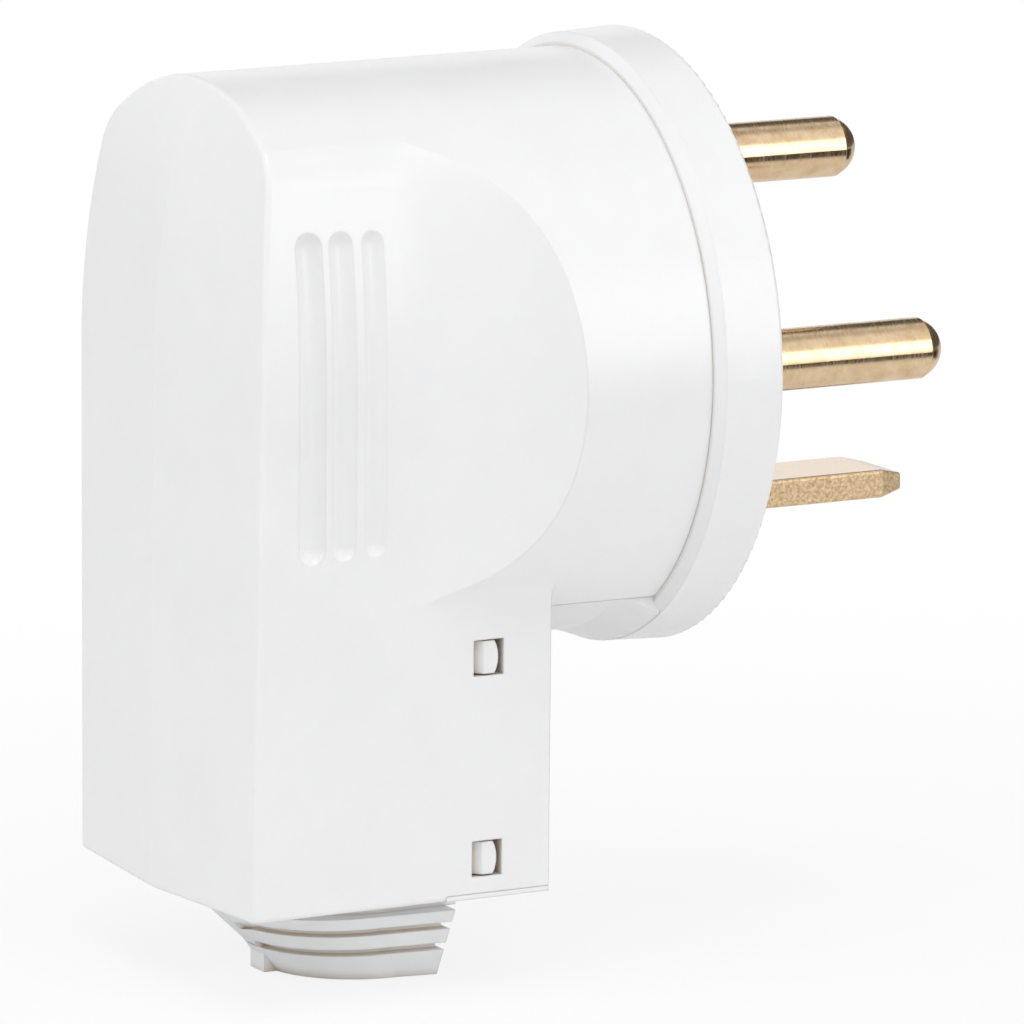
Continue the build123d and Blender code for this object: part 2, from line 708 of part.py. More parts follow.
def pan_screw(seat, shank_length, diameter, head_diameter, head_height, towards=1):
    """Slotted screw whose head rests on the plane at depth seat. Its head faces
    backwards, or to the front with towards=-1."""
    with BuildPart() as screw:
        with BuildSketch(Plane.XZ.offset(seat + towards * seat_gap)):
            Circle(diameter / 2)
        extrude(amount=-towards * shank_length)
        with BuildSketch(Plane.XZ.offset(seat + towards * seat_gap)):
            Circle(head_diameter / 2)
        extrude(amount=towards * head_height)
        with BuildSketch(Plane.XZ.offset(seat + towards * (seat_gap + head_height))):
            Rectangle(2 * head_diameter, screw_slot_width)
        extrude(amount=-towards * screw_slot_depth, mode=Mode.SUBTRACT)
    return screw.part


retainer_back = retainer_depth + seat_gap + retainer_thickness
for number, place in enumerate(retainer_screw_places, 1):
    retainer_screw = pan_screw(
        retainer_back,
        retainer_screw_length,
        retainer_screw_diameter,
        retainer_screw_head_diameter,
        retainer_screw_head_height,
    )
    save(Location((place[0], 0, place[1])) * retainer_screw, f"retainer_screw_{number}")

cover_screw = pan_screw(
    cover_screw_seat,
    cover_screw_length,
    cover_screw_diameter,
    cover_screw_head_diameter,
    cover_screw_head_height,
    towards=-1,
)
save(Location((cover_screw_place[0], 0, cover_screw_place[1])) * cover_screw, "cover_screw")

# Cord clamp: a bar with a hollow for the cord, on two posts
with BuildPart() as cord_clamp:
    with BuildSketch(Plane.XY.offset(clamp_height - clamp_bar_height / 2)):
        with Locations((0, -clamp_bar_depth - seat_gap)):
            Rectangle(clamp_bar_width, clamp_bar_thickness, align=(Align.CENTER, Align.MAX))
        with Locations((0, -clamp_bar_depth - clamp_bar_arch + cord_hole_diameter / 2)):
            Circle(cord_hole_diameter / 2, mode=Mode.SUBTRACT)
    extrude(amount=clamp_bar_height)
    with BuildSketch(Plane.XZ.offset(clamp_bar_depth)):
        with Locations(*cord_screw_places):
            Circle(cord_screw_diameter / 2 + hole_gap)
    extrude(amount=clamp_bar_thickness + overcut, mode=Mode.SUBTRACT)
save(cord_clamp.part, "cord_clamp")

for number, place in enumerate(cord_screw_places, 1):
    cord_clamp_screw = pan_screw(
        clamp_bar_depth + clamp_bar_thickness + seat_gap,
        cord_screw_length,
        cord_screw_diameter,
        cord_screw_head_diameter,
        cord_screw_head_height,
    )
    save(Location((place[0], 0, place[1])) * cord_clamp_screw, f"cord_clamp_screw_{number}")


# Cable boot: a flexible collar with two grooves and a web at the back
def boot_plan(height, inset=0.0):
    """Outline of the boot at this height above its lower end: straight in front, round behind."""
    half_width = boot_bottom_half_width + boot_side_flare * height - inset
    front = -(boot_bottom_front - boot_front_lean * height + inset)
    back = -(boot_bottom_back + boot_back_flare * height - inset)
    turn = back + half_width
    with BuildLine() as outline:
        Polyline((0, front), (half_width + boot_front_spread, front), (half_width, turn))
        CenterArc((0, turn), half_width, 0, -90)
        mirror(about=Plane.YZ)
    return outline.edges()


def neck_plan(reach):
    """Outline of the neck, grown by reach for the flange inside the housing."""
    half_width = boot_neck_half_width - fit_gap + reach
    turn = -(boot_neck_back - boot_neck_half_width)
    with BuildLine() as outline:
        Polyline((0, -boot_neck_front), (half_width, -boot_neck_front), (half_width, turn))
        CenterArc((0, turn), half_width, 0, -90)
        mirror(about=Plane.YZ)
    return outline.edges()


with BuildPart() as boot_grooves:
    for top in boot_groove_tops:
        middle = top - boot_groove_height
        low = middle - boot_groove_slope
        with BuildSketch(Plane.XY.offset(boot_bottom + low)):
            Rectangle(4 * boot_bottom_half_width, 4 * boot_bottom_back)
        extrude(amount=top - low)
        with BuildSketch(Plane.XY.offset(boot_bottom + middle)):
            make_face(boot_plan(middle, boot_groove_depth))
        extrude(amount=boot_groove_height, mode=Mode.SUBTRACT)
        with BuildSketch(Plane.XY.offset(boot_bottom + low)):
            make_face(boot_plan(low))
        with BuildSketch(Plane.XY.offset(boot_bottom + middle)):
            make_face(boot_plan(middle, boot_groove_depth))
        loft(mode=Mode.SUBTRACT)


def web_profile():
    """Side outline of the web behind the boot."""
    back = boot_bottom_back + boot_web_stand
    top = -body_bottom - seat_gap
    with BuildLine() as outline:
        Polyline(
            (-boot_web_top_depth, top),
            (-back, boot_bottom + boot_web_knee),
            (-back, boot_bottom),
            (-cord_hole_depth, boot_bottom),
            (-cord_hole_depth, top),
            close=True,
        )
    return outline.edges()


with BuildPart() as web:
    with BuildSketch(Plane.YZ.offset(-boot_web_width / 2)):
        make_face(web_profile())
    extrude(amount=boot_web_width)


def web_flare(inset):
    """The part over which the upper ribs, or with an inset the grooves, run out to the web."""
    web_back = boot_bottom_back + boot_web_stand
    web_rise = boot_length - seat_gap - boot_web_knee
    with BuildPart() as flare_form:
        with BuildSketch(Plane.XY.offset(boot_bottom + boot_web_knee)):
            with BuildLine():
                foot = (boot_web_foot_half_width - inset, boot_web_foot_reach - web_back)
                Polyline((0, -web_back), (boot_web_width / 2 - inset, -web_back), foot, (0, foot[1]))
                mirror(about=Plane.YZ)
            make_face()
        extrude(amount=web_rise, dir=(0, web_back - boot_web_top_depth, web_rise))
        # The lowest rib and the neck stay plain
        with Locations((0, -web_back, boot_bottom + boot_groove_tops[0])):
            Box(
                4 * boot_web_foot_half_width,
                8 * boot_web_foot_reach,
                boot_collar_bottom - boot_groove_tops[0],
                align=(Align.CENTER, Align.CENTER, Align.MIN),
                mode=Mode.INTERSECT,
            )
    return flare_form.part


rib_flare = web_flare(0)
groove_flare = web_flare(boot_groove_depth)

with BuildPart() as cable_boot:
    with BuildSketch(Plane.XY.offset(boot_bottom)):
        make_face(boot_plan(0))
    with BuildSketch(Plane.XY.offset(boot_bottom + boot_collar_bottom)):
        make_face(boot_plan(boot_collar_bottom))
    loft()
    # The upper ribs and their grooves run out to the web
    add(rib_flare)
    add(boot_grooves.part, mode=Mode.SUBTRACT)
    add(groove_flare)
    with BuildSketch(Plane.XY.offset(boot_bottom + boot_collar_bottom)):
        make_face(neck_plan(0))
    extrude(amount=boot_length + floor_wall + seat_gap - boot_collar_bottom)
    with BuildSketch(Plane.XY.offset(floor_top + seat_gap)):
        make_face(neck_plan(boot_flange_overlap))
    extrude(amount=boot_flange_thickness)
    add(web.part)
    with BuildSketch(Plane.XY.offset(boot_bottom)):
        with Locations((0, -cord_hole_depth)):
            Circle(cord_hole_diameter / 2)
    extrude(amount=2 * boot_length, mode=Mode.SUBTRACT)
save(cable_boot.part, "cable_boot")
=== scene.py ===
# %% [markdown]
# # A side-entry three-phase plug, dressed for a studio photograph
#
# The measured plug arrives as a frame of finished solids: two white mouldings,
# three round pins, an earth blade, a grooved cable boot and the parts inside.
# Each solid keeps its place and its shape. This file gives every one of them a
# finish, turns real threads on the screws, and lights the plug as in a shop
# picture on white.

import math

import bpy
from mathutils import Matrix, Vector


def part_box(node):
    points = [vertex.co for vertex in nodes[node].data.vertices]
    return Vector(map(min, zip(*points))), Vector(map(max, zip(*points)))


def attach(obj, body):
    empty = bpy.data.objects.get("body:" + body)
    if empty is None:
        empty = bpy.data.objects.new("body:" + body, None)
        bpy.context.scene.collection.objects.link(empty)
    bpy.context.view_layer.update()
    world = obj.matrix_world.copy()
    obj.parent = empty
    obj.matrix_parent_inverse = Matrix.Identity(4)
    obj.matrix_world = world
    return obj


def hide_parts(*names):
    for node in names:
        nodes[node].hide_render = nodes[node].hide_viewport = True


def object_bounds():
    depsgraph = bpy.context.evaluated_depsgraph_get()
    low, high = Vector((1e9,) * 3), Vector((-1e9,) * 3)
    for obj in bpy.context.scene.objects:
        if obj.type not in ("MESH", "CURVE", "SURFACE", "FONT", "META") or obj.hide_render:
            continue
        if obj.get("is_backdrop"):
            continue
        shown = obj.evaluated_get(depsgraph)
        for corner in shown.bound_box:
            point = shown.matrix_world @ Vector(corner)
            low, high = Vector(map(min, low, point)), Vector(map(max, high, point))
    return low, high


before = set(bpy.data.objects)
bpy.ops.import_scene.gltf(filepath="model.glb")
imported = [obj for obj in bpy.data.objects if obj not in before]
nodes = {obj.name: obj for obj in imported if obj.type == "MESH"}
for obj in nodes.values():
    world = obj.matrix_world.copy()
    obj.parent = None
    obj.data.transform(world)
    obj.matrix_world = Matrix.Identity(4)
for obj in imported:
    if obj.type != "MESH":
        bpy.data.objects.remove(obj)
cad_low, cad_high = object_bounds()
MM = 0.001
print("pieces in the frame:", len(nodes))
print("box of the plug in mm:", [round(size / MM, 1) for size in cad_high - cad_low])

# %% [markdown]
# ## Camera
# The picture was taken from the side and a little above, with a long lens, so
# that parallel edges stay nearly parallel. A long lens is made here by standing
# the camera almost a metre away and narrowing its view, instead of moving it
# close. The turn and the tilt are the angles at which the round rim, the pins
# and the lower housing fall on their places in the picture.

# %% Camera
camera_turn = math.radians(62.229)
camera_tilt = math.radians(10.546)
camera_place = Vector((0.77847, -0.42331, 0.14704))
picture_side = 1024
focal_length_in_pixels = 9200

camera_data = bpy.data.cameras.new("long_lens")
camera_data.sensor_width = 36
camera_data.lens = camera_data.sensor_width * focal_length_in_pixels / picture_side
camera_data.clip_start = 0.05
camera_data.clip_end = 20
camera = bpy.data.objects.new("camera", camera_data)
camera.location = camera_place
camera.rotation_euler = (math.pi / 2 - camera_tilt, 0, camera_turn)
bpy.context.scene.collection.objects.link(camera)
bpy.context.scene.camera = camera
bpy.context.scene.view_settings.view_transform = "Standard"
print("lens in mm:", round(camera_data.lens, 1))

# %% [markdown]
# ## Colours and nodes
# A colour is written as the hex value that a screen shows. The renderer counts
# in light, so one function turns the hex value into linear numbers. A second
# function adds one node: its options, the values of its sockets and the links
# that feed them, so that each finish below reads as a list of nodes.

# %% Colours and nodes
def linear(hex_code):
    """The linear colour of an sRGB hex code."""
    channels = []
    for start in (1, 3, 5):
        value = int(hex_code[start:start + 2], 16) / 255
        if value <= 0.04045:
            channels.append(value / 12.92)
        else:
            channels.append(((value + 0.055) / 1.055) ** 2.4)
    return (*channels, 1.0)


def add_node(tree, kind, values=None, links=None, stops=(), **options):
    """Add a node. Options are its own settings, values fill sockets, links feed
    sockets, and stops are the positions and hex codes of a colour ramp."""
    node = tree.nodes.new(kind)
    for name, value in options.items():
        setattr(node, name, value)
    for socket, value in (values or {}).items():
        node.inputs[socket].default_value = value
    for socket, source in (links or {}).items():
        tree.links.new(source, node.inputs[socket])
    for number, (position, hex_code) in enumerate(stops):
        if number >= 2:
            node.color_ramp.elements.new(position)
        node.color_ramp.elements[number].position = position
        node.color_ramp.elements[number].color = linear(hex_code)
    return node


print("the white of a screen in linear light:", linear("#FFFFFF"))
print("the middle grey of a screen:", [round(channel, 3) for channel in linear("#808080")[:3]])

# %% [markdown]
# ## A finish to start from
# Every material begins in the same way, with coordinates that stay with the
# piece and one Principled surface at the end. White plastic also looks darker
# and cream in its grooves and slots, because less light reaches them and light
# that bounces between close walls takes on their tone each time. The helper
# for that paints this shade into the colour: it measures how open a point is
# and darkens the colour towards a warm tone where it is closed in.

# %% Starting a finish
shut_in, wide_open = 0.1, 0.52


def new_finish(name):
    """A material with one Principled surface, its tree and its coordinates."""
    finish = bpy.data.materials.new(name)
    finish.use_nodes = True
    tree = finish.node_tree
    tree.nodes.clear()
    place = add_node(tree, "ShaderNodeTexCoord").outputs["Object"]
    surface = add_node(tree, "ShaderNodeBsdfPrincipled")
    add_node(tree, "ShaderNodeOutputMaterial", links={"Surface": surface.outputs["BSDF"]})
    return finish, tree, place, surface


def painted_crevice_shade(tree, tint, reach, hex_code):
    """The tint with painted shade: darker and warmer where walls stand closer than reach."""
    openness = add_node(
        tree, "ShaderNodeAmbientOcclusion", values={"Distance": reach}, samples=3,
    )
    warm = add_node(
        tree, "ShaderNodeValToRGB",
        links={"Fac": openness.outputs["AO"]},
        stops=[(shut_in, hex_code), (wide_open, "#FFFFFF")],
    )
    return add_node(
        tree, "ShaderNodeMix",
        values={0: 1.0}, links={6: tint.outputs["Color"], 7: warm.outputs["Color"]},
        data_type="RGBA", blend_type="MULTIPLY",
    ).outputs[2]


print("the warm tone fades out between an openness of", shut_in, "and", wide_open)

# %% [markdown]
# ## Gloss white plastic
# Both mouldings are injection moulded in a hard, glossy thermoplastic such as
# ABS. The mould was polished and then spark eroded a little, so the skin is
# smooth but not a mirror: a lamp shows as a soft patch. The white is filled
# with titanium dioxide, which turns light back close under the skin, so only a
# touch of depth is left. Cooling leaves a very faint unevenness, drawn as slow
# noise: the eye reads it as a real skin and not as a painted one. A steel mould
# never has a knife edge, so the shading rounds the edges by a quarter of a
# millimetre.

# %% Gloss white plastic
white_plastic, tree, place, surface = new_finish("moulded_abs_gloss_white")
flow = add_node(
    tree, "ShaderNodeTexNoise",
    values={"Scale": 1 / (9 * MM), "Detail": 5.0, "Roughness": 0.6},
    links={"Vector": place},
)
tint = add_node(
    tree, "ShaderNodeValToRGB",
    links={"Fac": flow.outputs["Fac"]},
    stops=[(0.2, "#EFEFEF"), (0.8, "#F3F3F3")],
)
crevice_width = 1.2 * MM
# Painted shade: grooves and slots are darkened towards cream where they are closed in
tint_with_painted_shade = painted_crevice_shade(tree, tint, crevice_width, "#CDBB9C")
tree.links.new(tint_with_painted_shade, surface.inputs["Base Color"])

# The spark-eroded grain is 0.05 mm; it is drawn at 0.25 mm, so that it shows
grain = add_node(
    tree, "ShaderNodeTexNoise",
    values={"Scale": 1 / (0.25 * MM), "Detail": 2.0, "Roughness": 0.6},
    links={"Vector": place},
)
gloss = add_node(
    tree, "ShaderNodeMapRange",
    values={"From Min": 0.2, "From Max": 0.8, "To Min": 0.27, "To Max": 0.33},
    links={"Value": flow.outputs["Fac"]},
)
tree.links.new(gloss.outputs["Result"], surface.inputs["Roughness"])
edge = add_node(tree, "ShaderNodeBevel", values={"Radius": 0.25 * MM}, samples=4)
skin = add_node(
    tree, "ShaderNodeBump",
    values={"Strength": 0.06, "Distance": 0.02 * MM},
    links={"Height": grain.outputs["Fac"], "Normal": edge.outputs["Normal"]},
)
tree.links.new(skin.outputs["Normal"], surface.inputs["Normal"])
surface.inputs["IOR"].default_value = 1.54
surface.inputs["Subsurface Weight"].default_value = 0.06
surface.inputs["Subsurface Scale"].default_value = 0.8 * MM
print("gloss white plastic:", len(tree.nodes), "nodes")

# %% [markdown]
# ## Soft white plastic of the cable boot
# The boot is moulded in soft PVC so that it can bend with the cable. It is a
# little cooler than the hard plastic and much less glossy, with a faint mottle
# from the plasticiser. It stands in the shade of the housing and close to the
# table, so its white is set lighter than it looks there.

# %% Soft white plastic
soft_plastic, tree, place, surface = new_finish("moulded_soft_pvc_white")
mottle = add_node(
    tree, "ShaderNodeTexNoise",
    values={"Scale": 1 / (3 * MM), "Detail": 3.0, "Roughness": 0.55},
    links={"Vector": place},
)
tint = add_node(
    tree, "ShaderNodeValToRGB",
    links={"Fac": mottle.outputs["Fac"]},
    stops=[(0.3, "#F4F5F5"), (0.7, "#F8F9F9")],
)
boot_crevice_width = 1.4 * MM
# Painted shade: the boot's grooves are darkened towards a warm tan where they are closed in
tint_with_painted_shade = painted_crevice_shade(tree, tint, boot_crevice_width, "#B89B72")
tree.links.new(tint_with_painted_shade, surface.inputs["Base Color"])
gloss = add_node(
    tree, "ShaderNodeMapRange",
    values={"From Min": 0.3, "From Max": 0.7, "To Min": 0.42, "To Max": 0.52},
    links={"Value": mottle.outputs["Fac"]},
)
tree.links.new(gloss.outputs["Result"], surface.inputs["Roughness"])
edge = add_node(tree, "ShaderNodeBevel", values={"Radius": 0.2 * MM}, samples=4)
skin = add_node(
    tree, "ShaderNodeBump",
    values={"Strength": 0.1, "Distance": 0.03 * MM},
    links={"Height": mottle.outputs["Fac"], "Normal": edge.outputs["Normal"]},
)
tree.links.new(skin.outputs["Normal"], surface.inputs["Normal"])
surface.inputs["IOR"].default_value = 1.52
print("soft white plastic:", len(tree.nodes), "nodes")

# %% [markdown]
# ## Turned brass of the round pins
# The pins are cut from brass bar on an automatic lathe. The tool leaves rings
# round the axis, so the marks change mostly along the pin: the noise is
# stretched by shrinking the two other directions of its coordinates. The rings
# catch the light as fine upright lines, and the bare metal is a pale champagne
# gold with slightly browner patches where it has begun to tarnish.

# %% Turned brass
turned_brass, tree, place, surface = new_finish("turned_brass")
along_pin = add_node(
    tree, "ShaderNodeMapping", values={"Scale": (0.02, 1.0, 0.02)}, links={"Vector": place},
)
# Feed marks are 0.1 mm apart; they are drawn at 0.22 mm, two or three pixels
rings = add_node(
    tree, "ShaderNodeTexNoise",
    values={"Scale": 1 / (0.22 * MM), "Detail": 3.0, "Roughness": 0.7},
    links={"Vector": along_pin.outputs["Vector"]},
)
tarnish = add_node(
    tree, "ShaderNodeTexNoise",
    values={"Scale": 1 / (1.6 * MM), "Detail": 4.0, "Roughness": 0.65},
    links={"Vector": place},
)
tone = add_node(
    tree, "ShaderNodeValToRGB",
    links={"Fac": tarnish.outputs["Fac"]},
    stops=[(0.3, "#D6B890"), (0.55, "#E6CAA5"), (0.8, "#F0DABA")],
)
tree.links.new(tone.outputs["Color"], surface.inputs["Base Color"])
polish = add_node(
    tree, "ShaderNodeMapRange",
    values={"From Min": 0.3, "From Max": 0.7, "To Min": 0.16, "To Max": 0.3},
    links={"Value": rings.outputs["Fac"]},
)
tree.links.new(polish.outputs["Result"], surface.inputs["Roughness"])
tool_marks = add_node(
    tree, "ShaderNodeBump",
    values={"Strength": 0.4, "Distance": 0.012 * MM},
    links={"Height": rings.outputs["Fac"]},
)
tree.links.new(tool_marks.outputs["Normal"], surface.inputs["Normal"])
surface.inputs["Metallic"].default_value = 1.0
print("turned brass:", len(tree.nodes), "nodes")

# %% [markdown]
# ## Rolled brass of the earth blade
# The blade is cut from flat brass bar. Its wide faces are rolled smooth and
# mirror the pale surroundings, while its narrow edges are rough and mottled.
# Which face a point lies on is read from the direction of the surface in the
# blade's own frame: an edge looks along X.

# %% Rolled brass
rolled_brass, tree, place, surface = new_finish("rolled_brass")
facing = add_node(tree, "ShaderNodeTexCoord").outputs["Normal"]
facing_parts = add_node(tree, "ShaderNodeSeparateXYZ", links={"Vector": facing})
sideways = add_node(
    tree, "ShaderNodeMath", links={0: facing_parts.outputs["X"]}, operation="ABSOLUTE",
)
on_edge = add_node(
    tree, "ShaderNodeMapRange",
    values={"From Min": 0.3, "From Max": 0.8},
    links={"Value": sideways.outputs["Value"]},
)
grit = add_node(
    tree, "ShaderNodeTexNoise",
    values={"Scale": 1 / (0.32 * MM), "Detail": 4.0, "Roughness": 0.7},
    links={"Vector": place},
)
edge_tone = add_node(
    tree, "ShaderNodeValToRGB",
    links={"Fac": grit.outputs["Fac"]},
    stops=[(0.3, "#B69870"), (0.5, "#E0C49C"), (0.72, "#F8E8CC")],
)
face_tone = add_node(
    tree, "ShaderNodeValToRGB",
    links={"Fac": grit.outputs["Fac"]},
    stops=[(0.3, "#F0D6BC"), (0.7, "#F8E4CE")],
)
tone = add_node(
    tree, "ShaderNodeMix",
    links={
        0: on_edge.outputs["Result"],
        6: face_tone.outputs["Color"],
        7: edge_tone.outputs["Color"],
    },
    data_type="RGBA",
)
tree.links.new(tone.outputs[2], surface.inputs["Base Color"])
polish = add_node(
    tree, "ShaderNodeMapRange",
    values={"To Min": 0.22, "To Max": 0.52},
    links={"Value": on_edge.outputs["Result"]},
)
tree.links.new(polish.outputs["Result"], surface.inputs["Roughness"])
edge = add_node(tree, "ShaderNodeBevel", values={"Radius": 0.12 * MM}, samples=4)
roughness_of_cut = add_node(
    tree, "ShaderNodeBump",
    values={"Strength": 0.35, "Distance": 0.03 * MM},
    links={"Height": grit.outputs["Fac"], "Normal": edge.outputs["Normal"]},
)
tree.links.new(roughness_of_cut.outputs["Normal"], surface.inputs["Normal"])
surface.inputs["Metallic"].default_value = 1.0
print("rolled brass:", len(tree.nodes), "nodes")

# %% [markdown]
# ## Zinc-plated steel of the screws and pressure plates
# The screws are cold-headed steel with a thin bright zinc coat. Zinc is a
# bluish grey metal, and the clear passivation over it turns faintly yellow in
# patches. The coat is smooth, so the lamps show as short soft streaks.

# %% Zinc-plated steel
zinc_plate, tree, place, surface = new_finish("zinc_plated_steel")
passivation = add_node(
    tree, "ShaderNodeTexNoise",
    values={"Scale": 1 / (1.8 * MM), "Detail": 3.0, "Roughness": 0.6},
    links={"Vector": place},
)
tone = add_node(
    tree, "ShaderNodeValToRGB",
    links={"Fac": passivation.outputs["Fac"]},
    stops=[(0.35, "#B3B8BF"), (0.6, "#C4C4C0"), (0.8, "#CDC7B2")],
)
tree.links.new(tone.outputs["Color"], surface.inputs["Base Color"])
polish = add_node(
    tree, "ShaderNodeMapRange",
    values={"From Min": 0.3, "From Max": 0.7, "To Min": 0.22, "To Max": 0.36},
    links={"Value": passivation.outputs["Fac"]},
)
tree.links.new(polish.outputs["Result"], surface.inputs["Roughness"])
edge = add_node(tree, "ShaderNodeBevel", values={"Radius": 0.08 * MM}, samples=4)
tree.links.new(edge.outputs["Normal"], surface.inputs["Normal"])
surface.inputs["Metallic"].default_value = 1.0
print("zinc-plated steel:", len(tree.nodes), "nodes")

# %% [markdown]
# ## Matte inner plastic
# The plate behind the pins and the cord clamp are moulded in natural
# polyamide, which is tough and stands the heat of a terminal. It is a warm
# ivory, slightly see-through at thin places, with a dull skin.

# %% Matte inner plastic
inner_plastic, tree, place, surface = new_finish("moulded_natural_polyamide")
cloud = add_node(
    tree, "ShaderNodeTexNoise",
    values={"Scale": 1 / (5 * MM), "Detail": 3.0, "Roughness": 0.5},
    links={"Vector": place},
)
tone = add_node(
    tree, "ShaderNodeValToRGB",
    links={"Fac": cloud.outputs["Fac"]},
    stops=[(0.3, "#D9D3C2"), (0.7, "#E2DDCF")],
)
tree.links.new(tone.outputs["Color"], surface.inputs["Base Color"])
fine = add_node(
    tree, "ShaderNodeTexNoise",
    values={"Scale": 1 / (0.3 * MM), "Detail": 2.0},
    links={"Vector": place},
)
skin = add_node(
    tree, "ShaderNodeBump",
    values={"Strength": 0.15, "Distance": 0.02 * MM},
    links={"Height": fine.outputs["Fac"]},
)
tree.links.new(skin.outputs["Normal"], surface.inputs["Normal"])
surface.inputs["Roughness"].default_value = 0.55
surface.inputs["Subsurface Weight"].default_value = 0.1
surface.inputs["Subsurface Scale"].default_value = 1.0 * MM
print("inner plastic:", len(tree.nodes), "nodes")

# %% [markdown]
# ## Giving the pieces their finish
# The solids already have the right shape and place, so nothing is rebuilt: each
# one only swaps its plain colour for a finish. The surface of a turned pin or a
# moulded wall is smooth, and the frame brings the right shading with it.

# %% Finishes on the pieces
finish_of = {
    "cover": white_plastic,
    "base": white_plastic,
    "cable_boot": soft_plastic,
    "earth_blade": rolled_brass,
    "pin_retainer": inner_plastic,
    "cord_clamp": inner_plastic,
}
for name, piece in nodes.items():
    if name.startswith("line_pin"):
        finish_of[name] = turned_brass
    elif name not in finish_of:
        finish_of[name] = zinc_plate
    piece.data.materials.clear()
    piece.data.materials.append(finish_of[name])
print("pieces with a finish:", len(finish_of))

# %% [markdown]
# ## Screws with real threads
# Nine screws hold the plug together, and all are the same design in four
# sizes: a domed head with a slot, and a rolled thread. That is a rule, so one
# Geometry Nodes tree makes them all, and their sizes are its named inputs. The
# screw is made upright, with the thread below and the head above a seat at
# height zero, because its heights are easy to follow that way.

# %% Inputs of the screw tree
screw_tree = bpy.data.node_groups.new("slotted_screw", "GeometryNodeTree")
screw_tree.interface.new_socket("Geometry", in_out="OUTPUT", socket_type="NodeSocketGeometry")
screw_inputs = {}
for name in (
    "Thread Radius", "Shank Length", "Head Radius", "Head Height",
    "Slot Width", "Slot Depth", "Pitch", "Turn",
):
    socket = screw_tree.interface.new_socket(name, in_out="INPUT", socket_type="NodeSocketFloat")
    screw_inputs[name] = socket.identifier
for name in ("Seat", "Aim"):
    socket = screw_tree.interface.new_socket(name, in_out="INPUT", socket_type="NodeSocketVector")
    screw_inputs[name] = socket.identifier
socket = screw_tree.interface.new_socket("Finish", in_out="INPUT", socket_type="NodeSocketMaterial")
screw_inputs["Finish"] = socket.identifier
given = add_node(screw_tree, "NodeGroupInput").outputs
sizes = {name: given[name] for name in screw_inputs}
print("inputs:", len(screw_inputs))

# %% [markdown]
# Every other length of the screw is worked out from those inputs. Each row
# below names what it makes, the operation and its two terms, and a term is a
# length from above or a plain number. The core reaches a little into the head,
# so that the two join, and the ball that rounds the head is larger than the
# head is wide, which gives a low dome.

# %% Lengths inside the screw
overlap = 0.2 * MM
bead_to_pitch = 0.3
dome_to_head = 1.6
for made, operation, *terms in (
    ("Bead Radius", "MULTIPLY", "Pitch", bead_to_pitch),
    ("Core Radius", "SUBTRACT", "Thread Radius", "Bead Radius"),
    ("Core Length", "ADD", "Shank Length", overlap),
    ("Shank Middle", "MULTIPLY", "Shank Length", -0.5),
    ("Core Middle", "ADD", "Shank Middle", overlap / 2),
    ("Bead Width", "MULTIPLY", "Bead Radius", 2.0),
    ("Thread Length", "SUBTRACT", "Shank Length", "Bead Width"),
    ("Windings", "DIVIDE", "Thread Length", "Pitch"),
    ("Thread Start", "SUBTRACT", "Bead Radius", "Shank Length"),
    ("Head Middle", "MULTIPLY", "Head Height", 0.5),
    ("Dome Radius", "MULTIPLY", "Head Radius", dome_to_head),
    ("Dome Middle", "SUBTRACT", "Head Height", "Dome Radius"),
    ("Cutter Length", "MULTIPLY", "Head Radius", 4.0),
    ("Cutter Depth", "MULTIPLY", "Slot Depth", 2.0),
):
    step = add_node(screw_tree, "ShaderNodeMath", operation=operation)
    for term, socket in zip(terms, step.inputs):
        if term in sizes:
            screw_tree.links.new(sizes[term], socket)
        else:
            socket.default_value = term
    sizes[made] = step.outputs["Value"]
print("lengths in the screw tree:", len(sizes) - len(screw_inputs))

# %% [markdown]
# A spiral carries a small round bead and so becomes the thread, and a plain
# cylinder inside it is the core. The thread could also be drawn as bump alone,
# but then its outline would be straight, and a screw is known by its outline.

# %% Core and thread
def lifted(geometry, height):
    """The geometry moved along the screw's axis."""
    shift = add_node(screw_tree, "ShaderNodeCombineXYZ", links={"Z": height})
    return add_node(
        screw_tree, "GeometryNodeTransform",
        links={"Geometry": geometry, "Translation": shift.outputs["Vector"]},
    ).outputs["Geometry"]


core = add_node(
    screw_tree, "GeometryNodeMeshCylinder",
    values={"Vertices": 32},
    links={"Radius": sizes["Core Radius"], "Depth": sizes["Core Length"]},
)
thread_path = add_node(
    screw_tree, "GeometryNodeCurveSpiral",
    values={"Resolution": 28},
    links={
        "Rotations": sizes["Windings"],
        "Start Radius": sizes["Core Radius"],
        "End Radius": sizes["Core Radius"],
        "Height": sizes["Thread Length"],
    },
)
bead = add_node(
    screw_tree, "GeometryNodeCurvePrimitiveCircle",
    values={"Resolution": 6}, links={"Radius": sizes["Bead Radius"]},
)
thread = add_node(
    screw_tree, "GeometryNodeCurveToMesh",
    values={"Fill Caps": True},
    links={"Curve": thread_path.outputs["Curve"], "Profile Curve": bead.outputs["Curve"]},
)
print("thread: a spiral and a bead with", bead.inputs["Resolution"].default_value, "sides")

# %% [markdown]
# A large ball trims a short cylinder to the domed head. Head, core and thread
# are then united into one closed skin, and a block cuts the slot.

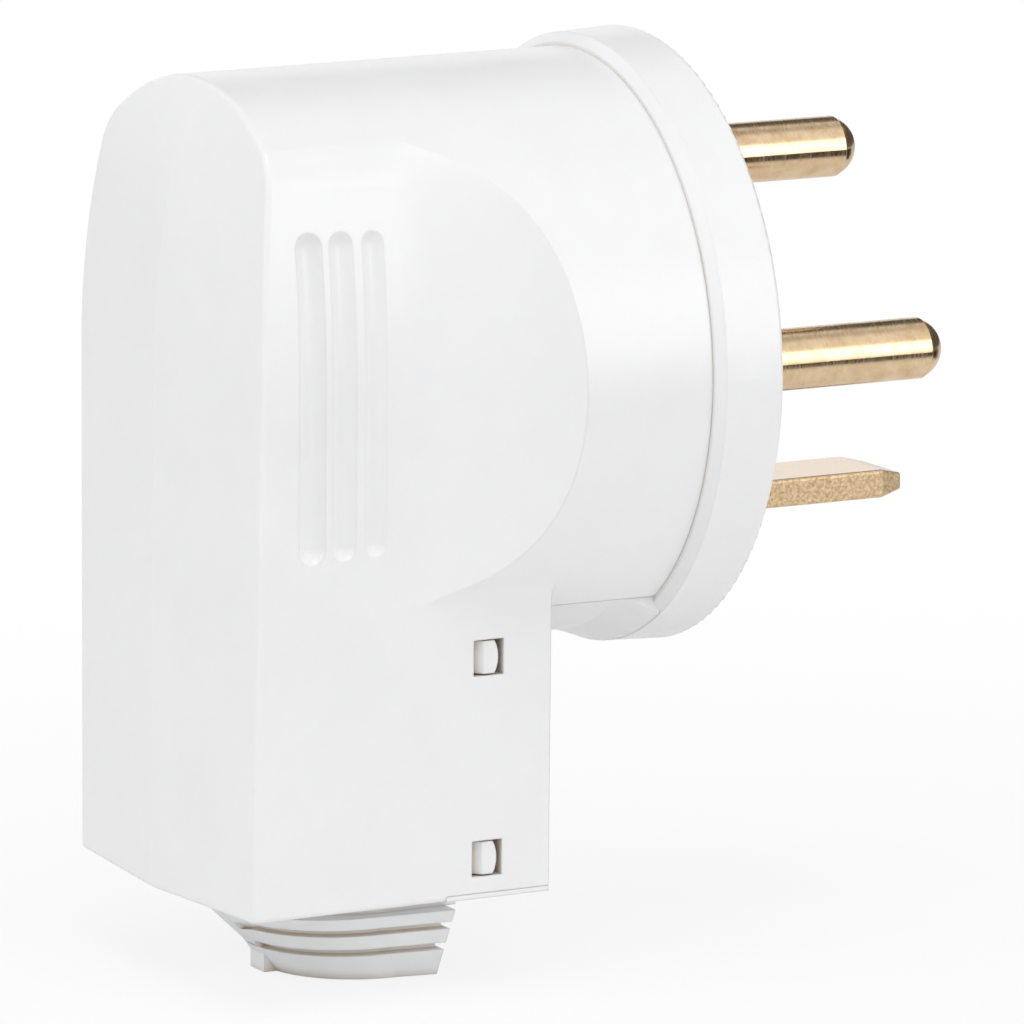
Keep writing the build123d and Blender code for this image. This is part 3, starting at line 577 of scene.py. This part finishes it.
# %% Head and slot
head = add_node(
    screw_tree, "GeometryNodeMeshCylinder",
    values={"Vertices": 48},
    links={"Radius": sizes["Head Radius"], "Depth": sizes["Head Height"]},
)
dome = add_node(
    screw_tree, "GeometryNodeMeshUVSphere",
    values={"Segments": 64, "Rings": 64}, links={"Radius": sizes["Dome Radius"]},
)
domed_head = add_node(
    screw_tree, "GeometryNodeMeshBoolean", operation="INTERSECT", solver="EXACT",
)
for part in (
    lifted(head.outputs["Mesh"], sizes["Head Middle"]),
    lifted(dome.outputs["Mesh"], sizes["Dome Middle"]),
):
    screw_tree.links.new(part, domed_head.inputs["Mesh 2"])
whole = add_node(screw_tree, "GeometryNodeMeshBoolean", operation="UNION", solver="EXACT")
for part in (
    lifted(core.outputs["Mesh"], sizes["Core Middle"]),
    lifted(thread.outputs["Mesh"], sizes["Thread Start"]),
    domed_head.outputs["Mesh"],
):
    screw_tree.links.new(part, whole.inputs["Mesh 2"])
cutter_size = add_node(
    screw_tree, "ShaderNodeCombineXYZ",
    links={"X": sizes["Cutter Length"], "Y": sizes["Slot Width"], "Z": sizes["Cutter Depth"]},
)
cutter = add_node(
    screw_tree, "GeometryNodeMeshCube", links={"Size": cutter_size.outputs["Vector"]},
)
slotted = add_node(
    screw_tree, "GeometryNodeMeshBoolean",
    links={"Mesh 1": whole.outputs["Mesh"]},
    operation="DIFFERENCE", solver="EXACT",
)
screw_tree.links.new(
    lifted(cutter.outputs["Mesh"], sizes["Head Height"]), slotted.inputs["Mesh 2"]
)
print("screw so far:", len(screw_tree.nodes), "nodes")

# %% [markdown]
# Last, the upright screw is turned about its own axis, laid down and moved to
# its seat, and takes its finish. Realize Instances makes sure that the result
# is plain mesh.

# %% Placing the screw
slot_turn = add_node(screw_tree, "ShaderNodeCombineXYZ", links={"Z": sizes["Turn"]})
turned = add_node(
    screw_tree, "GeometryNodeTransform",
    links={"Geometry": slotted.outputs["Mesh"], "Rotation": slot_turn.outputs["Vector"]},
)
placed = add_node(
    screw_tree, "GeometryNodeTransform",
    links={
        "Geometry": turned.outputs["Geometry"],
        "Translation": sizes["Seat"],
        "Rotation": sizes["Aim"],
    },
)
realized = add_node(
    screw_tree, "GeometryNodeRealizeInstances", links={"Geometry": placed.outputs["Geometry"]},
)
finished = add_node(
    screw_tree, "GeometryNodeSetMaterial",
    links={"Geometry": realized.outputs["Geometry"], "Material": sizes["Finish"]},
)
add_node(screw_tree, "NodeGroupOutput", links={"Geometry": finished.outputs["Geometry"]})
print("screw tree:", len(screw_tree.nodes), "nodes")

# %% [markdown]
# ## Nine screws
# Each screw is measured against the solid that it stands for: the middle of
# that solid's box is its axis, and one end of the box is the top of its head.
# A person never stops every slot at the same angle, so each slot gets a turn of
# its own. The tree's result becomes a plain mesh, and the modifier goes.

# %% Nine screws
# Which way a head looks, as the sign of the turn that lays the screw down
BACKWARDS, FORWARDS = 1, -1
# Widths of thread and head, height of the head and pitch, all in mm, and the head's way
screw_sizes = {
    "terminal_screw": (4.0, 6.4, 2.2, 0.7, BACKWARDS),
    "retainer_screw": (3.0, 5.4, 1.9, 1.0, BACKWARDS),
    "cover_screw": (3.5, 7.0, 2.0, 1.1, FORWARDS),
    "cord_clamp_screw": (3.4, 6.2, 2.2, 1.1, BACKWARDS),
}
slot_width, slot_depth = 0.9 * MM, 1.0 * MM
first_slot_turn, next_slot_turn = 12, 37
crease_angle = math.radians(38)
screw_names = sorted(name for name in nodes if "screw" in name)
for number, name in enumerate(screw_names):
    kind = name.rstrip("0123456789").rstrip("_")
    thread_width, head_width, head_height, pitch, way = screw_sizes[kind]
    low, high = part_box(name)
    middle = (low + high) / 2
    top_of_head = low.y if way == BACKWARDS else high.y
    seat = Vector((middle.x, top_of_head + way * head_height * MM, middle.z))
    holder = bpy.data.objects.new(name + "_maker", bpy.data.meshes.new(name + "_maker"))
    bpy.context.scene.collection.objects.link(holder)
    maker = holder.modifiers.new("screw", "NODES")
    maker.node_group = screw_tree
    settings = {
        "Thread Radius": thread_width / 2 * MM,
        "Shank Length": high.y - low.y - head_height * MM,
        "Head Radius": head_width / 2 * MM,
        "Head Height": head_height * MM,
        "Slot Width": slot_width,
        "Slot Depth": slot_depth,
        "Pitch": pitch * MM,
        "Turn": math.radians(next_slot_turn * number + first_slot_turn),
        "Seat": seat,
        "Aim": (way * math.pi / 2, 0, 0),
        "Finish": zinc_plate,
    }
    for setting, value in settings.items():
        maker[screw_inputs[setting]] = value
    evaluated = holder.evaluated_get(bpy.context.evaluated_depsgraph_get())
    mesh = bpy.data.meshes.new_from_object(evaluated)
    mesh.name = "threaded_" + name
    bpy.data.objects.remove(holder)
    mesh.shade_smooth()
    mesh.set_sharp_from_angle(angle=crease_angle)
    screw = bpy.data.objects.new("threaded_" + name, mesh)
    bpy.context.scene.collection.objects.link(screw)
    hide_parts(name)
    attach(screw, "root")
    print(screw.name, len(mesh.polygons), "faces")

# %% [markdown]
# ## Floor
# The plug stands on a plain white table that runs out to the white of the
# background. The camera sees the paint mixed with a glow of exactly the
# background's white: near the plug enough paint is left for the soft shadow,
# and further out only the glow, so that no horizon shows. The plug itself is
# lit by the plain paint alone, so the glow puts no extra light on it.

# %% Floor
floor_gap = 0.1 * MM
floor_reach = 4.0
floor_height = cad_low.z - floor_gap
floor_mesh = bpy.data.meshes.new("table")
corners = [(-1, -1), (1, -1), (1, 1), (-1, 1)]
floor_mesh.from_pydata(
    [(x * floor_reach, y * floor_reach, floor_height) for x, y in corners], [], [(0, 1, 2, 3)]
)
table = bpy.data.objects.new("table", floor_mesh)
bpy.context.scene.collection.objects.link(table)
table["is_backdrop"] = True

table_paint = bpy.data.materials.new("white_table_paint")
table_paint.use_nodes = True
tree = table_paint.node_tree
tree.nodes.clear()
place = add_node(tree, "ShaderNodeTexCoord").outputs["Object"]
reach = add_node(tree, "ShaderNodeVectorMath", links={0: place}, operation="LENGTH")
shadow_ends, paint_ends = 0.07, 0.2
glow_near_plug = 0.8
fade = add_node(
    tree, "ShaderNodeMapRange",
    values={"From Min": shadow_ends, "From Max": paint_ends, "To Min": glow_near_plug},
    links={"Value": reach.outputs["Value"]},
    interpolation_type="SMOOTHSTEP",
)
ray = add_node(tree, "ShaderNodeLightPath").outputs
shown = add_node(
    tree, "ShaderNodeMath",
    links={0: ray["Is Camera Ray"], 1: fade.outputs["Result"]}, operation="MULTIPLY",
)
paint = add_node(tree, "ShaderNodeBsdfDiffuse", values={"Color": linear("#F2F2F2")})
glow = add_node(tree, "ShaderNodeEmission", values={"Color": linear("#FFFFFF"), "Strength": 1.0})
blend = add_node(
    tree, "ShaderNodeMixShader",
    links={0: shown.outputs["Value"], 1: paint.outputs["BSDF"], 2: glow.outputs["Emission"]},
)
add_node(tree, "ShaderNodeOutputMaterial", links={"Surface": blend.outputs["Shader"]})
floor_mesh.materials.append(table_paint)
print("table under the boot at mm:", round(floor_height / MM, 2))

# %% [markdown]
# ## Light
# White on white needs light that is soft but not flat. A tall soft box stands
# on the pin side: it is the pale rectangle on the rim and the bright line along
# each pin. A second one above lights the top of the round part, and a third to
# the left of the camera lifts the back. Brightness is given per square metre,
# so a wider box lights more but looks no brighter in a mirror.

# %% Soft boxes
aim_point = Vector((0, -10 * MM, 0))


def direction(turn, rise):
    """The way to a lamp or card: turn runs round the plug from its back, rise is upwards."""
    turn, rise = math.radians(turn), math.radians(rise)
    level = math.cos(rise)
    return Vector((math.sin(turn) * level, -math.cos(turn) * level, math.sin(rise)))


def soft_box(name, turn, rise, distance, width, height, brightness):
    """A rectangular lamp at a distance from the plug, turned towards it."""
    lamp = bpy.data.lights.new(name, "AREA")
    lamp.shape = "RECTANGLE"
    lamp.size, lamp.size_y = width, height
    lamp.energy = brightness * math.pi * width * height
    stand = bpy.data.objects.new(name, lamp)
    away = direction(turn, rise)
    stand.location = aim_point + distance * away
    stand.rotation_euler = away.to_track_quat("Z", "Y").to_euler()
    bpy.context.scene.collection.objects.link(stand)
    print(name, "watts:", round(lamp.energy, 2))


soft_box(
    "pin_side_box", turn=120, rise=14, distance=1.0, width=0.45, height=0.55, brightness=1.9,
)
soft_box(
    "overhead_box", turn=70, rise=70, distance=1.0, width=0.6, height=0.6, brightness=2.6,
)
soft_box(
    "back_box", turn=2, rise=20, distance=1.2, width=0.8, height=0.8, brightness=1.1,
)

# %% [markdown]
# ## Sky
# The sky round the plug gives an even fill. The camera and the mirror-like rays
# see it as pure white instead, so that the background is white while the soft
# light on the plug stays as it is.

# %% Sky
world = bpy.data.worlds.new("studio")
bpy.context.scene.world = world
world.use_nodes = True
tree = world.node_tree
tree.nodes.clear()
fill = add_node(
    tree, "ShaderNodeBackground", values={"Color": linear("#F8F8F9"), "Strength": 0.7},
)
white = add_node(
    tree, "ShaderNodeBackground", values={"Color": linear("#FFFFFF"), "Strength": 1.0},
)
ray = add_node(tree, "ShaderNodeLightPath").outputs
seen = add_node(
    tree, "ShaderNodeMath",
    links={0: ray["Is Camera Ray"], 1: ray["Is Glossy Ray"]}, operation="MAXIMUM",
)
seen = add_node(
    tree, "ShaderNodeMath",
    links={0: seen.outputs["Value"], 1: ray["Is Transmission Ray"]}, operation="MAXIMUM",
)
sky = add_node(
    tree, "ShaderNodeMixShader",
    links={
        0: seen.outputs["Value"],
        1: fill.outputs["Background"],
        2: white.outputs["Background"],
    },
)
add_node(tree, "ShaderNodeOutputWorld", links={"Surface": sky.outputs["Shader"]})
print("sky fill:", fill.inputs["Strength"].default_value)

# %% [markdown]
# ## Dark cards for the metal
# Bare metal shows what stands round it. In an all-white room brass looks like
# plastic, so photographers stand dark cards just outside the picture. Here one
# lies flat on the table and gives the dark line under the bright one on each
# pin. Two hang above and behind for the dark upper edge, and one faces the
# tips, so that their domes end in a dark rim. Only reflections see them.

# %% Dark cards
def card(name, outline_rings, hex_code):
    """A card through rings of points, seen by reflections only."""
    points, faces = [], []
    across = len(outline_rings[0])
    for ring in outline_rings:
        points.extend(ring)
    for row in range(len(outline_rings) - 1):
        for column in range(across - 1):
            first = row * across + column
            faces.append((first, first + 1, first + across + 1, first + across))
    mesh = bpy.data.meshes.new(name)
    mesh.from_pydata(points, [], faces)
    paper = bpy.data.materials.new(name + "_paper")
    paper.use_nodes = True
    tree = paper.node_tree
    tree.nodes.clear()
    tone = add_node(
        tree, "ShaderNodeEmission", values={"Color": linear(hex_code), "Strength": 1.0},
    )
    add_node(tree, "ShaderNodeOutputMaterial", links={"Surface": tone.outputs["Emission"]})
    mesh.materials.append(paper)
    stand = bpy.data.objects.new(name, mesh)
    bpy.context.scene.collection.objects.link(stand)
    for sight in ("camera", "diffuse", "transmission", "volume_scatter", "shadow"):
        setattr(stand, "visible_" + sight, False)
    stand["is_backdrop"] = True
    print(name, len(faces), "faces")


table_card_radii = (0.155, 0.8)
card_height = Vector((0, 0, floor_height + 1 * MM))
card_distance, far_card_distance = 1.3, 1.35
card(
    "table_card",
    [
        [radius * direction(turn, 0) + card_height for turn in range(95, 186, 5)]
        for radius in table_card_radii
    ],
    "#2E2C2A",
)
card(
    "upper_card",
    [
        [card_distance * direction(turn, rise) for turn in range(-180, 181, 15)]
        for rise in (60, 70, 80, 90)
    ],
    "#7A7874",
)
card(
    "far_card",
    [
        [far_card_distance * direction(turn, rise) for turn in range(-165, -74, 10)]
        for rise in (22, 32, 42, 52)
    ],
    "#5A5854",
)
card(
    "tip_card",
    [
        [card_distance * direction(turn, rise) for turn in range(150, 226, 15)]
        for rise in (-4, 8, 20, 32)
    ],
    "#5A5650",
)

# %% [markdown]
# ## Measure and finish
# The dressed plug is measured again, and its largest growth past the measured one is printed.
# The dressed plug may not be larger than the measured one.

# %% Sizes and the last line
low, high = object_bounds()
print("largest growth in mm:", round(max(*(cad_low - low), *(high - cad_high)) / MM, 3))
